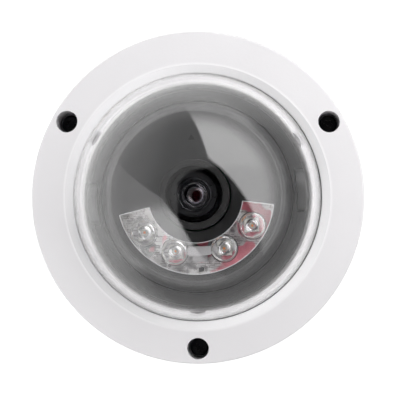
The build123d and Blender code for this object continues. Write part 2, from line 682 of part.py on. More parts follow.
with BuildPart() as lamps:
    for spot in cup_spots:
        block(3.0, 3.0, tilt_z(LAMP_TOP), tilt_z(LAMP_TOP + 0.8), spot)
        with Locations((*spot, tilt_z(LAMP_TOP + 0.8))):
            Sphere(1.2, arc_size1=0)
save(gimbal(lamps.part), "lamps")

# one clear moulding: the window plate with a collimating lens over each lamp
with BuildPart() as lamp_window:
    turned([(WINDOW_IN - 1.0, tilt_z(face_height(WINDOW_IN - 1.0))),
            (WINDOW_OUT + 1.0, tilt_z(face_height(WINDOW_OUT + 1.0))),
            (WINDOW_OUT + 1.0, tilt_z(face_height(WINDOW_OUT + 1.0) - PLATE_CLEAR)),
            (WINDOW_IN - 1.0, tilt_z(face_height(WINDOW_IN - 1.0) - PLATE_CLEAR))])
    extrude(Plane.XY.offset(tilt_z(10.0)) * window_sector(-0.05), amount=20.0, mode=Mode.INTERSECT)
    for spot in cup_spots:
        with Locations((*spot, tilt_z(LAMP_TOP + 2.1))):
            Cone(bottom_radius=COLLIMATOR_LOW_R, top_radius=COLLIMATOR_TOP_R,
                 height=CUP_TOP - LAMP_TOP + 0.4, align=(Align.CENTER, Align.CENTER, Align.MIN))
        rim = face_height(math.hypot(*spot)) - 0.4
        with Locations((*spot, 0)):
            add(lens(COLLIMATOR_TOP_R, rim - 1.0, rim + 0.5, COLLIMATOR_SAG))
        with Locations((*spot, tilt_z(LAMP_TOP + 2.1))):
            Sphere(1.7, mode=Mode.SUBTRACT)
save(gimbal(lamp_window.part), "lamp_window")

with BuildPart() as lamp_bridge:
    block(6.4, 3.0, tilt_z(LAMP_TOP), tilt_z(CUP_TOP + 0.2), (0, -20.6))
    block(5.6, 2.6, tilt_z(LAMP_TOP), tilt_z(LAMP_TOP + 2.2), (0, -23.4))
    with BuildSketch(Plane.XY.offset(tilt_z(CUP_TOP + 0.2))):
        with Locations((0, -20.6)):
            RectangleRounded(8.8, 3.4, 0.6)
    extrude(amount=1.1)
save(gimbal(lamp_bridge.part), "lamp_bridge")

with BuildPart() as light_sensor:
    block(2.0, 1.6, tilt_z(LAMP_TOP), tilt_z(LAMP_TOP + 0.7), (0, -27.6))
    posts(0.6, [(0, -27.6)], tilt_z(LAMP_TOP + 0.7), tilt_z(LAMP_TOP + 1.1))
save(gimbal(light_sensor.part), "light_sensor")

HOOD_LOW = 13.4
with BuildPart() as lens_hood:
    turned([(HOOD_IN, tilt_z(HOOD_LOW)), (HOOD_OUT, tilt_z(HOOD_LOW)),
            (HOOD_OUT, tilt_z(HOOD_TOP)), (HOOD_IN, tilt_z(HOOD_TOP))])
    fillet(edges().group_by(Axis.Z)[-1], 0.7)
save(gimbal(lens_hood.part), "lens_hood")

BARREL_LOW = 0.0
BARREL_STEP = 10.0
BARREL_TAIL_R = 7.0
BARREL_BORE_R = 3.6
GLASS_LOW = 24.4
REAR_GLASS_R = 5.4
with BuildPart() as lens_barrel:
    turned([(4.6, tilt_z(BARREL_LOW)), (BARREL_TAIL_R, tilt_z(BARREL_LOW)),
            (BARREL_TAIL_R, tilt_z(BARREL_STEP)), (BARREL_R, tilt_z(BARREL_STEP)),
            (BARREL_R, tilt_z(BARREL_TOP)), (6.5, tilt_z(BARREL_TOP)),
            (6.1, tilt_z(BARREL_TOP - 0.5)), (6.1, tilt_z(29.6)), (5.4, tilt_z(29.6)),
            (5.1, tilt_z(28.3)), (GLASS_R + 0.2, tilt_z(28.3)), (GLASS_R, tilt_z(27.4)),
            (GLASS_R, tilt_z(GLASS_LOW)), (BARREL_BORE_R, tilt_z(GLASS_LOW)),
            (BARREL_BORE_R, tilt_z(8.0)), (REAR_GLASS_R, tilt_z(8.0)),
            (REAR_GLASS_R, tilt_z(4.0)), (4.6, tilt_z(4.0))])
save(gimbal(lens_barrel.part), "lens_barrel")


save(gimbal(lens(GLASS_R - SNUG, GLASS_LOW, 26.4, 1.4)), "front_lens")
save(gimbal(lens(REAR_GLASS_R - SNUG, 4.6, 6.6, 1.0)), "rear_lens")

with BuildPart() as focus_ring:
    ring(BARREL_R + FIT, HOOD_IN - 0.45, tilt_z(17.0), tilt_z(25.0))
    with BuildSketch(Plane.XY.offset(tilt_z(17.0))):
        with PolarLocations(HOOD_IN - 0.45, 36):
            Rectangle(0.5, 0.3)
    extrude(amount=8.0, mode=Mode.SUBTRACT)
save(gimbal(focus_ring.part), "focus_ring")

with BuildPart() as lens_holder:
    block(20.0, 20.0, tilt_z(-3.0), tilt_z(6.0))
    fillet(edges().filter_by(Axis.Z), 1.5)
    disc(BARREL_TAIL_R + SNUG, tilt_z(BARREL_LOW), tilt_z(6.0), Mode.SUBTRACT)
    block(12.0, 12.0, tilt_z(-3.0), tilt_z(-0.6), mode=Mode.SUBTRACT)
    disc(4.0, tilt_z(-0.6), tilt_z(BARREL_LOW), Mode.SUBTRACT)
    block(1.2, 14.0, tilt_z(-1.0), tilt_z(3.0), (10.6, 0))
    block(1.2, 14.0, tilt_z(-1.0), tilt_z(3.0), (-10.6, 0))
save(gimbal(lens_holder.part), "lens_holder")

with BuildPart() as cut_filter:
    block(10.0, 10.0, tilt_z(-1.1), tilt_z(-0.6))
save(gimbal(cut_filter.part), "cut_filter")

with BuildPart() as sensor_board:
    disc(26.5, tilt_z(SENSOR_BOARD_Z), tilt_z(SENSOR_BOARD_TOP))
    posts(2.0, post_spots, tilt_z(SENSOR_BOARD_Z), tilt_z(SENSOR_BOARD_TOP))
    posts(0.9, post_spots, tilt_z(SENSOR_BOARD_Z), tilt_z(SENSOR_BOARD_TOP), Mode.SUBTRACT)
save(gimbal(sensor_board.part), "sensor_board")

with BuildPart() as sensor_board_screws:
    posts(1.5, post_spots, tilt_z(SENSOR_BOARD_Z - 1.1), tilt_z(SENSOR_BOARD_Z))
    posts(0.7, post_spots, tilt_z(SENSOR_BOARD_Z), tilt_z(-1.0))
save(gimbal(sensor_board_screws.part), "sensor_board_screws")

with BuildPart() as image_sensor:
    block(11.0, 9.0, tilt_z(SENSOR_BOARD_TOP), tilt_z(-3.2))
    block(8.0, 5.6, tilt_z(-3.5), tilt_z(-3.2), mode=Mode.SUBTRACT)
save(gimbal(image_sensor.part), "image_sensor")

with BuildPart() as head_clip:
    ring(30.4, 35.5, tilt_z(SKIRT_LOW - 1.8), tilt_z(SKIRT_LOW))
    posts(0.8, clip_spots, tilt_z(SKIRT_LOW - 1.8), tilt_z(SKIRT_LOW), Mode.SUBTRACT)
save(gimbal(head_clip.part), "head_clip")

with BuildPart() as head_clip_screws:
    clip_low = tilt_z(SKIRT_LOW - 1.8)
    posts(1.4, clip_spots, clip_low - 1.0, clip_low)
    posts(0.68, clip_spots, clip_low, clip_low + 5.5)
save(gimbal(head_clip_screws.part), "head_clip_screws")
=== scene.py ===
import json
import math
import random

import bmesh
import bpy
from mathutils import Matrix, Vector


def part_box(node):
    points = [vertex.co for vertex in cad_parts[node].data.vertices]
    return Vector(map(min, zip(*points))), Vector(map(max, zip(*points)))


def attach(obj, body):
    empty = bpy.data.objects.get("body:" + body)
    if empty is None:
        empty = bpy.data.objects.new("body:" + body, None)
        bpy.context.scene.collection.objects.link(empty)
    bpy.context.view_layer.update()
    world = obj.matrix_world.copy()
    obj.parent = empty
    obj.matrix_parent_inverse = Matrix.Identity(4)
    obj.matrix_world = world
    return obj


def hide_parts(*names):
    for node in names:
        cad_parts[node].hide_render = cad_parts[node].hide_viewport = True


# Dome camera seen from straight in front of its dome. Lengths are metres.
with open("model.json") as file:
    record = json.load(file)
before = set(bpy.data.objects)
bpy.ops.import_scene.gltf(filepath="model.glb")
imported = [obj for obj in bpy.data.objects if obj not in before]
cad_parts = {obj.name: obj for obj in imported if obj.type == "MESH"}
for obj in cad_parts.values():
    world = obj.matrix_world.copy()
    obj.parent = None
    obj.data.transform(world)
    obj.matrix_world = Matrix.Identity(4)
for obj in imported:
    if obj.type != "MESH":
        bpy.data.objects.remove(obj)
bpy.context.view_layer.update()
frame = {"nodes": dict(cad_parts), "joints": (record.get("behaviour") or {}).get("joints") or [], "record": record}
MM = 0.001


def box(node):
    """Low and high corner of a CAD node as vectors."""
    low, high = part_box(node)
    return Vector(low), Vector(high)


def centre(node):
    low, high = box(node)
    return (low + high) / 2


joints = {joint["name"]: joint for joint in frame["joints"]}
TILT_AT = Vector(joints["tilt"]["pos_m"])
TILT_AXIS = Vector(joints["tilt"]["axis"])
PAN_REST = math.atan2(TILT_AXIS.y, TILT_AXIS.x)
DOME_Z = TILT_AT.z
BUBBLE_R = box("bubble")[1].z - DOME_Z

# ---------------------------------------------------------------- material helper


class Shader:
    """A material with a Principled shader and short ways to add texture to it."""

    def __init__(self, name, color, roughness, metallic=0.0, **sockets):
        self.material = bpy.data.materials.new(name)
        self.material.use_nodes = True
        self.tree = self.material.node_tree
        self.bsdf = self.tree.nodes["Principled BSDF"]
        self.output = self.tree.nodes["Material Output"]
        self.color = (*color, 1.0)
        self.set("Base Color", self.color)
        self.set("Roughness", roughness)
        self.set("Metallic", metallic)
        for socket, value in sockets.items():
            self.set(socket.replace("_", " "), value)
        self.normal = None

    def set(self, socket, value):
        self.bsdf.inputs[socket].default_value = value

    def add(self, kind, **values):
        made = self.tree.nodes.new(kind)
        for name, value in values.items():
            setattr(made, name, value)
        return made

    def link(self, source, target):
        self.tree.links.new(source, target)

    def position(self):
        return self.add("ShaderNodeTexCoord").outputs["Object"]

    def noise(self, scale, detail=3.0, stretch=(1, 1, 1)):
        """Noise in object space; scale is repeats per metre."""
        mapping = self.add("ShaderNodeMapping")
        mapping.inputs["Scale"].default_value = stretch
        self.link(self.position(), mapping.inputs["Vector"])
        noise = self.add("ShaderNodeTexNoise")
        noise.inputs["Scale"].default_value = scale
        noise.inputs["Detail"].default_value = detail
        self.link(mapping.outputs["Vector"], noise.inputs["Vector"])
        return noise.outputs["Fac"]

    def remap(self, value, low, high, start=0.0, stop=1.0):
        ramp = self.add("ShaderNodeMapRange")
        for name, number in (("From Min", low), ("From Max", high), ("To Min", start), ("To Max", stop)):
            ramp.inputs[name].default_value = number
        self.link(value, ramp.inputs["Value"])
        return ramp.outputs["Result"]

    def tint(self, factor, color):
        """Blend the base colour towards another one by a 0 to 1 factor."""
        mix = self.add("ShaderNodeMix", data_type="RGBA")
        source = self.bsdf.inputs["Base Color"]
        if source.is_linked:
            self.link(source.links[0].from_socket, mix.inputs["A"])
        else:
            mix.inputs["A"].default_value = self.color
        mix.inputs["B"].default_value = (*color, 1.0)
        self.link(factor, mix.inputs["Factor"])
        self.link(mix.outputs["Result"], source)
        return self

    def vary_roughness(self, scale, low, high):
        self.link(self.remap(self.noise(scale), 0.3, 0.7, low, high), self.bsdf.inputs["Roughness"])
        return self

    def bump(self, height, distance, strength=1.0):
        bump = self.add("ShaderNodeBump")
        bump.inputs["Distance"].default_value = distance
        bump.inputs["Strength"].default_value = strength
        self.link(height, bump.inputs["Height"])
        if self.normal:
            self.link(self.normal, bump.inputs["Normal"])
        self.normal = bump.outputs["Normal"]
        self.link(self.normal, self.bsdf.inputs["Normal"])
        return self

    def let_lamps_through(self):
        """Shadow and diffuse rays pass straight through, so what is behind the glass is lit."""
        path = self.add("ShaderNodeLightPath")
        either = self.add("ShaderNodeMath", operation="MAXIMUM")
        self.link(path.outputs["Is Shadow Ray"], either.inputs[0])
        self.link(path.outputs["Is Diffuse Ray"], either.inputs[1])
        clear = self.add("ShaderNodeBsdfTransparent")
        mix = self.add("ShaderNodeMixShader")
        self.link(either.outputs[0], mix.inputs["Fac"])
        self.link(self.bsdf.outputs[0], mix.inputs[1])
        self.link(clear.outputs[0], mix.inputs[2])
        self.link(mix.outputs[0], self.output.inputs["Surface"])
        return self


# ---------------------------------------------------------------- materials

WHITE = (0.77, 0.76, 0.772)
PAINTED_LIP_LIGHT_EDGES = (0.0526, 0.0512)    # radii between which the cover's lip is painted brighter, as painted light over its shade


def powder_coat(name, color):
    """Satin powder coat: fine orange peel with a faint cloudiness."""
    coat = Shader(name, color, 0.42, Coat_Weight=0.12, Coat_Roughness=0.25)
    coat.tint(coat.remap(coat.noise(45.0), 0.35, 0.75, 0.0, 0.35), tuple(c * 0.93 for c in color))
    coat.vary_roughness(160.0, 0.38, 0.5)
    coat.bump(coat.noise(2600.0, 2.0), 0.00004, 0.35)
    return coat.bump(coat.noise(900.0, 2.0), 0.00008, 0.3)


def cover_coat_with_painted_lip_light():
    """Powder coat with painted light on the lip round the bubble, which is tinted brighter there to lift its
    shade.
    """
    coat = powder_coat("white_coat", WHITE)
    split = coat.add("ShaderNodeSeparateXYZ")
    coat.link(coat.position(), split.inputs[0])
    flat = coat.add("ShaderNodeCombineXYZ")
    coat.link(split.outputs["X"], flat.inputs["X"])
    coat.link(split.outputs["Y"], flat.inputs["Y"])
    radius = coat.add("ShaderNodeVectorMath", operation="LENGTH")
    coat.link(flat.outputs[0], radius.inputs[0])
    # painted light: a brighter tint on the lip, between the radii above
    return coat.tint(coat.remap(radius.outputs["Value"], *PAINTED_LIP_LIGHT_EDGES), (0.94, 0.935, 0.945))


def moulded(name, color, roughness=0.5, grain=3500.0, relief=0.0000012):
    """Spark-eroded moulded plastic with slightly shinier patches."""
    plastic = Shader(name, color, roughness)
    plastic.tint(plastic.remap(plastic.noise(120.0), 0.35, 0.7, 0.0, 0.5), tuple(c * 1.35 for c in color))
    plastic.vary_roughness(300.0, roughness - 0.07, roughness + 0.08)
    return plastic.bump(plastic.noise(grain, 2.0), relief, 0.6)


def rubber(name, color, bloom=(0.09, 0.09, 0.09)):
    """Matt rubber with a dusty bloom."""
    soft = Shader(name, color, 0.62, Specular_IOR_Level=0.35)
    soft.tint(soft.remap(soft.noise(700.0), 0.5, 0.8, 0.0, 0.5), bloom)
    return soft.bump(soft.noise(2200.0), 0.00005, 0.6)


def metal(name, color, roughness, stretch=(1, 1, 1), scale=900.0):
    """Metal with fine machining or drawing marks."""
    bare = Shader(name, color, roughness, 1.0)
    bare.vary_roughness(500.0, roughness * 0.8, roughness * 1.25)
    return bare.bump(bare.noise(scale, 3.0, stretch), 0.00003, 0.5)


def clear(name, ior, color=(1, 1, 1), ripple=0.0):
    """Clear glass or plastic; ripple is the depth of its moulding waves."""
    glass = Shader(name, color, 0.0, IOR=ior, Transmission_Weight=1.0)
    if ripple:
        glass.bump(glass.noise(240.0, 1.5), ripple, 0.6)
    return glass.let_lamps_through()


def circuit_board(name, mask, copper):
    """Solder mask over a grid of copper tracks with tinned pads."""
    board = Shader(name, mask, 0.32, Coat_Weight=0.4, Coat_Roughness=0.15)
    tracks = board.add("ShaderNodeTexBrick", offset=0.5, squash=1.0)
    tracks.inputs["Scale"].default_value = 260.0
    tracks.inputs["Mortar Size"].default_value = 0.035
    tracks.inputs["Brick Width"].default_value = 0.9
    tracks.inputs["Row Height"].default_value = 0.22
    board.link(board.position(), tracks.inputs["Vector"])
    board.tint(tracks.outputs["Fac"], copper)
    board.tint(board.remap(board.noise(260.0, 4.0), 0.52, 0.56), tuple(c * 1.25 for c in mask))
    return board.bump(tracks.outputs["Fac"], 0.00003, 0.5)


def lamp_circuit():
    """White mask with pink patches, more of them to the right."""
    board = circuit_board("lamp_board", (0.84, 0.83, 0.84), (0.42, 0.38, 0.40))
    board.tint(board.remap(board.noise(180.0, 2.0), 0.5, 0.6, 0.0, 0.8), (0.16, 0.15, 0.16))
    pink_patch_noise = board.noise(150.0, 1.0)
    right = board.add("ShaderNodeVectorMath", operation="DOT_PRODUCT")
    board.link(board.position(), right.inputs[0])
    right.inputs[1].default_value = (6.0, 1.0, 0.0)
    lean = board.add("ShaderNodeMath", operation="ADD")
    board.link(pink_patch_noise, lean.inputs[0])
    board.link(right.outputs["Value"], lean.inputs[1])
    return board.tint(board.remap(lean.outputs[0], 0.54, 0.60, 0.0, 0.9), (0.86, 0.22, 0.30))


def coated_lens():
    """Dark coated element deep in the lens, with a red and violet sheen."""
    coated = Shader("lens_coating", (0.01, 0.006, 0.012), 0.05, Coat_Weight=1.0, Coat_Roughness=0.02)
    coated.set("Coat Tint", (1.0, 0.45, 0.5, 1.0))
    coated.tint(coated.remap(coated.noise(220.0), 0.4, 0.6), (0.05, 0.008, 0.015))
    return coated


CHARCOAL = (0.008, 0.008, 0.0085)
looks = {
    "white_coat": cover_coat_with_painted_lip_light(),
    "cast_metal": powder_coat("cast_metal", (0.72, 0.715, 0.725)),
    "seal_rubber": rubber("seal_rubber", (0.02, 0.02, 0.02)),
    "hood_rubber": rubber("hood_rubber", (0.004, 0.004, 0.004), (0.016, 0.016, 0.016)),
    "dark_plastic": moulded("dark_plastic", CHARCOAL, 0.36),
    "black_plastic": moulded("black_plastic", (0.012, 0.012, 0.012), 0.4),
    "grey_plastic": moulded("grey_plastic", (0.42, 0.41, 0.42), 0.35),
    "white_plastic": moulded("white_plastic", (0.75, 0.74, 0.70), 0.35),
    "chip": moulded("chip", (0.02, 0.02, 0.022), 0.45, 6000.0),
    "green_board": circuit_board("green_board", (0.012, 0.11, 0.045), (0.03, 0.19, 0.08)),
    "lamp_board": lamp_circuit(),
    "lamp": moulded("lamp", (0.80, 0.78, 0.74), 0.25),
    "lamp_die": moulded("lamp_die", (0.95, 0.33, 0.06), 0.3),
    "solder": metal("solder", (0.75, 0.75, 0.76), 0.25),
    "resistor": moulded("resistor", (0.03, 0.03, 0.035), 0.35),
    "ceramic": moulded("ceramic", (0.42, 0.30, 0.17), 0.4),
    "lens_coating": coated_lens(),
    # pale opaque plastic whose colour is the painted highlight on the clear window's edge
    "clear_edge": moulded("clear_edge", (0.62, 0.62, 0.64), 0.15),
    "cup_silver": metal("cup_silver", (0.86, 0.86, 0.88), 0.16, scale=1500.0),
    "dark_screw": metal("dark_screw", (0.035, 0.035, 0.038), 0.4),
    "steel_screw": metal("steel_screw", (0.62, 0.61, 0.58), 0.3),
    "anodised": metal("anodised", (0.045, 0.045, 0.048), 0.32, (1, 1, 12), 700.0),
    "bare_aluminium": metal("bare_aluminium", (0.78, 0.78, 0.8), 0.28, (1, 1, 8)),
    "steel_sheet": metal("steel_sheet", (0.55, 0.55, 0.56), 0.34, (8, 1, 1)),
    "shield_steel": metal("shield_steel", (0.7, 0.7, 0.71), 0.25, (1, 9, 1)),
    "clear_dome": clear("clear_dome", 1.58),
    "lamp_window": clear("lamp_window", 1.58, ripple=0.0005),
    "lens_glass": clear("lens_glass", 1.6, (0.93, 0.9, 0.97)),
}
slot_of = {part["node"]: part["material_slot"] for part in frame["record"]["subparts"]}


def coat(node, look):
    """Give a CAD node one of the materials."""
    for slot in frame["nodes"][node].material_slots:
        slot.material = looks[look].material


for node in frame["nodes"]:
    coat(node, slot_of[node])

# ---------------------------------------------------------------- mesh pieces

SHARP = math.radians(35)        # edges bent by more than this stay crisp
POLE_R = 0.005 * MM             # radius of the tiny hole closed at a turned mesh's pole
BUBBLE_WALL = 3.2 * MM
FLANGE_T = 2 * MM               # thickness of the bubble's flange
LIP_GAP = 0.28 * MM             # gap between the bubble and the cover
BARREL_IN = 6.1 * MM            # radius of the lens barrel's mouth
GROOVES = 7                     # threads of the baffle behind the front lens
GROOVE_PITCH = 0.7 * MM
ELEMENT_R = 2.28 * MM           # coated element deep in the lens
ELEMENT_CROWN_R = 4.2 * MM
LENS_SAG = 1.4 * MM             # height of the front lens's crown
WINDOW_IN = 17.5 * MM
WINDOW_OUT = 29.4 * MM
WINDOW_HALF = math.radians(159.6 / 2)
WINDOW_MIDDLE = math.radians(270.0) + PAN_REST
WINDOW_DOME = 0.64 * MM         # how far the optics stand above the window's inner edge
FACE_SLOPE = 0.2
TRAY_WALL = 0.3 * MM
EDGE_WIDTH = 0.2 * MM           # width of the pale band painted as the highlight on the window's polished edge
ON_BOARD = ("processor", "network_jack", "network_transformer", "power_terminal", "card_socket",
            "memory_card", "reset_switch", "capacitors", "harness_connector")


def piece(name, bm, look, body):
    """Turn a bmesh into a piece that rides on a body and takes a slot's finish."""
    bmesh.ops.recalc_face_normals(bm, faces=bm.faces)
    for face in bm.faces:
        face.smooth = True
    for edge in bm.edges:
        if len(edge.link_faces) == 2 and edge.calc_face_angle(0.0) > SHARP:
            edge.smooth = False
    mesh = bpy.data.meshes.new(name)
    bm.to_mesh(mesh)
    bm.free()
    mesh.materials.append(looks[look].material)
    made = bpy.data.objects.new(name, mesh)
    bpy.context.scene.collection.objects.link(made)
    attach(made, body)
    return made


def spin(bm, outline, at=(0.0, 0.0), segments=96):
    """Add a closed (radius, height) outline turned about a vertical line."""
    rings = []
    for index in range(segments):
        turn = math.tau * index / segments
        rings.append([bm.verts.new((at[0] + r * math.cos(turn), at[1] + r * math.sin(turn), z))
                      for r, z in outline])
    for index, ring in enumerate(rings):
        after = rings[(index + 1) % segments]
        for low in range(len(outline)):
            high = (low + 1) % len(outline)
            bm.faces.new((ring[low], after[low], after[high], ring[high]))


def brick(bm, at, size, turn=0.0, bevel=0.0):
    """Add a block with rounded edges standing on a point."""
    new = bmesh.ops.create_cube(bm, size=1.0)["verts"]
    bmesh.ops.scale(bm, vec=Vector(size), verts=new)
    bmesh.ops.rotate(bm, cent=(0, 0, 0), matrix=Matrix.Rotation(turn, 3, "Z"), verts=new)
    bmesh.ops.translate(bm, vec=Vector(at) + Vector((0, 0, size[2] / 2)), verts=new)
    if bevel:
        edges = list({edge for vert in new for edge in vert.link_edges})
        bmesh.ops.bevel(bm, geom=edges, offset=bevel, segments=2, affect="EDGES")


def lens_baffle(glass_low):
    """Threaded baffle behind the front lens, closed by the stop."""
    low, high = box("front_lens")
    bore = (high.x - low.x) / 2 * 0.78
    stop_r = 0.9 * MM
    stop_z = glass_low - 6 * MM
    first_z = glass_low - 0.1 * MM
    outline = [(bore, first_z)]
    for index in range(GROOVES):
        z = first_z - index * GROOVE_PITCH
        crest = bore - 0.35 * MM - 0.06 * MM * index
        outline += [(crest, z - 0.1 * MM), (bore - 0.1 * MM, z - 0.6 * MM)]
    outline += [(stop_r, stop_z), (stop_r, stop_z - 0.3 * MM), (bore, stop_z - 0.3 * MM)]
    bm = bmesh.new()
    spin(bm, outline)
    piece("lens_baffle", bm, "anodised", "head_group")


def lens_bright_ring(ring_z):
    """Bare ring that shows as a bright circle behind the front lens."""
    inner = 2.30 * MM
    outer = 2.60 * MM
    low = ring_z - 0.7 * MM
    bm = bmesh.new()
    spin(bm, [(inner, ring_z), (outer - 0.08 * MM, ring_z), (outer, ring_z - 0.25 * MM),
              (outer, low), (inner, low)])
    piece("lens_bright_ring", bm, "bare_aluminium", "head_group")


def lens_inner_element(ring_z):
    """Coated element with a spherical crown, inside the bright ring."""
    steps = 14
    rim_z = ring_z - 1.3 * MM
    back_z = ring_z - 1.9 * MM
    pole_r = 2 * POLE_R
    drop = math.sqrt(ELEMENT_CROWN_R ** 2 - ELEMENT_R ** 2)
    crown = []
    for index in range(steps + 1):
        r = ELEMENT_R * index / steps
        crown.append((max(r, pole_r), rim_z + math.sqrt(ELEMENT_CROWN_R ** 2 - r ** 2) - drop))
    crown += [(ELEMENT_R, back_z), (pole_r, back_z)]
    bm = bmesh.new()
    spin(bm, crown)
    bmesh.ops.remove_doubles(bm, verts=bm.verts, dist=3 * pole_r)
    piece("lens_inner_element", bm, "lens_coating", "head_group")


def lens_retaining_ring():
    """Threaded ring that holds the front lens in its barrel."""
    low = box("front_lens")[1].z - LENS_SAG + 0.22 * MM
    high = low + 0.4 * MM
    outer = 4.46 * MM
    bm = bmesh.new()
    spin(bm, [(4.15 * MM, low), (outer, low), (outer, high), (4.32 * MM, high)])
    piece("lens_retaining_ring", bm, "shield_steel", "head_group")


def lens_front_groove():
    """Raised rib round the mouth of the lens barrel."""
    mouth_z = box("lens_barrel")[1].z
    crest = BARREL_IN - 0.25 * MM
    bm = bmesh.new()
    spin(bm, [(BARREL_IN, mouth_z - 1.2 * MM), (crest, mouth_z - 1.35 * MM),
              (crest, mouth_z - 1.6 * MM), (BARREL_IN, mouth_z - 1.75 * MM)])
    piece("lens_front_groove", bm, "anodised", "head_group")


def quarter_arc(radius, steps=64):
    """(r, z) points of a quarter circle over the dome's centre, from its pole to its equator."""
    turns = [math.pi / 2 * index / steps for index in range(steps + 1)]
    return [(max(radius * math.sin(turn), POLE_R), DOME_Z + radius * math.cos(turn)) for turn in turns]


def smooth_bubble():
    """The clear bubble with a finely divided shell, so that it refracts without facets."""
    low, high = box("bubble")
    inner_r = BUBBLE_R - BUBBLE_WALL
    flange_top = low.z + FLANGE_T
    outside = quarter_arc(BUBBLE_R)
    inside = quarter_arc(inner_r)
    flange = [(BUBBLE_R, flange_top), (high.x, flange_top), (high.x, low.z), (inner_r, low.z)]
    bm = bmesh.new()
    spin(bm, outside + flange + inside[::-1], segments=192)
    bmesh.ops.remove_doubles(bm, verts=bm.verts, dist=4 * POLE_R)
    shell = piece("bubble_shell", bm, "clear_dome", "cover_group")
    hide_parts("bubble")


def gasket_lip():
    """Thin rubber lip that fills the gap between the bubble and the cover."""
    low = box("bubble_gasket")[1].z + 0.05 * MM
    high = DOME_Z - 0.35 * MM
    inner = BUBBLE_R + 0.03 * MM
    outer = BUBBLE_R + LIP_GAP
    bm = bmesh.new()
    spin(bm, [(inner, low), (outer, low), (outer, high - 0.1 * MM), (inner, high)], segments=192)
    piece("gasket_lip", bm, "seal_rubber", "cover_group")


def face_z(radius):
    """Height of the lamp window's sloping front at a distance from the head's axis."""
    return box("lamp_window")[1].z - WINDOW_DOME - FACE_SLOPE * (radius - WINDOW_IN)


def sector_loop(r_in, r_out, half):
    """Closed loop of (x, y, radius) round an arc-shaped sector below the lens."""
    steps = 60
    end_steps = 8
    turns = [WINDOW_MIDDLE + half * (2 * index / steps - 1) for index in range(steps + 1)]
    shares = [index / end_steps for index in range(1, end_steps)]
    outer = [(r_out, turn) for turn in turns]
    last = [(r_out + (r_in - r_out) * share, turns[-1]) for share in shares]
    inner = [(r_in, turn) for turn in reversed(turns)]
    first = [(r_in + (r_out - r_in) * share, turns[0]) for share in shares]
    return [(r * math.cos(turn), r * math.sin(turn), r) for r, turn in outer + last + inner + first]


def sector_frame(name, outer, inner, low, high, look):
    """Thin upright frame between two sector loops; low and high give heights from a radius."""
    bm = bmesh.new()
    walls = [[bm.verts.new((x, y, height(r))) for x, y, r in loop]
             for loop, height in ((outer, low), (outer, high), (inner, high), (inner, low))]
    count = len(outer)
    for index in range(count):
        after = (index + 1) % count
        for one, two in zip(walls, walls[1:] + walls[:1]):
            bm.faces.new((one[index], one[after], two[after], two[index]))
    return piece(name, bm, look, "head_group")


def lamp_tray():
    """Bright tray that stands on the lamp board round the lamps."""
    board_top = box("lamp_board")[1].z
    wall_in = WINDOW_IN - 0.9 * MM
    wall_out = WINDOW_OUT + 0.1 * MM
    sector_frame("lamp_tray", sector_loop(wall_in, wall_out, WINDOW_HALF + 0.006),
                 sector_loop(wall_in + TRAY_WALL, wall_out - TRAY_WALL, WINDOW_HALF - 0.006),
                 lambda r: board_top, lambda r: face_z(r) - 1.6 * MM, "lamp")


def window_edge_painted_highlight():
    """Polished edge of the clear window, drawn as a pale opaque band that is a painted highlight."""
    edge_in = WINDOW_IN + 0.08 * MM
    edge_out = WINDOW_OUT - 0.08 * MM
    sector_frame("window_edge_painted_highlight", sector_loop(edge_in, edge_out, WINDOW_HALF - 0.002),
                 sector_loop(edge_in + EDGE_WIDTH, edge_out - EDGE_WIDTH, WINDOW_HALF - 0.011),
                 lambda r: face_z(r) - 0.3 * MM, lambda r: face_z(r) + 0.02 * MM,
                 "clear_edge")


def lamp_dies():
    """Amber die on a bright frame in each infrared lamp."""
    dies = bmesh.new()
    frames = bmesh.new()
    top = box("lamps")[1].z
    low = top - 0.25 * MM
    inner = 0.75 * MM
    outer = 1.0 * MM
    for index in range(1, 5):
        at = centre(f"lamp_cup_{index}")
        brick(dies, (at.x, at.y, top), (0.9 * MM, 0.9 * MM, 0.15 * MM), PAN_REST, 0.03 * MM)
        spin(frames, [(inner, low), (outer, low), (outer, top), (inner, top)], (at.x, at.y), 40)
    piece("lamp_dies", dies, "lamp_die", "head_group")
    piece("lamp_frames", frames, "solder", "head_group")


def blocked(at, nodes, margin):
    """True if a point lies over one of the nodes' boxes."""
    for node in nodes:
        low, high = box(node)
        if low.x - margin < at.x < high.x + margin and low.y - margin < at.y < high.y + margin:
            return True
    return False


def small_parts(prefix, board, body, count, r_in, r_out, avoid, seed):
    """Scatter soldered resistors and capacitors over a board's top face."""
    rng = random.Random(seed)
    clear_of_nodes = 2.0 * MM
    clear_of_parts = 2.6 * MM
    rounding = 0.05 * MM
    middle = centre(board)
    top = box(board)[1].z
    chips, ends, tans = bmesh.new(), bmesh.new(), bmesh.new()
    placed = []
    for _ in range(count * 12):
        if len(placed) >= count:
            break
        r = math.sqrt(rng.uniform(r_in ** 2, r_out ** 2))
        turn = rng.uniform(0.0, math.tau)
        at = Vector((middle.x + r * math.cos(turn), middle.y + r * math.sin(turn), top))
        length = rng.choice((1.0, 1.6, 2.0)) * MM
        quarter = rng.choice((0.0, math.pi / 2)) + PAN_REST
        crowded = any((at - other).length < clear_of_parts for other in placed)
        if crowded or blocked(at, avoid, clear_of_nodes):
            continue
        placed.append(at)
        width, height = length * 0.55, length * 0.4
        brick(rng.choice((chips, tans)), at, (length * 0.66, width, height), quarter, rounding)
        for end in (-1, 1):
            shift = Vector((math.cos(quarter), math.sin(quarter), 0)) * length * 0.42 * end
            brick(ends, at + shift, (length * 0.2, width * 1.04, height * 1.03), quarter, rounding)
    piece(prefix + "_resistors", chips, "resistor", body)
    piece(prefix + "_ceramics", tans, "ceramic", body)
    piece(prefix + "_solder_ends", ends, "solder", body)


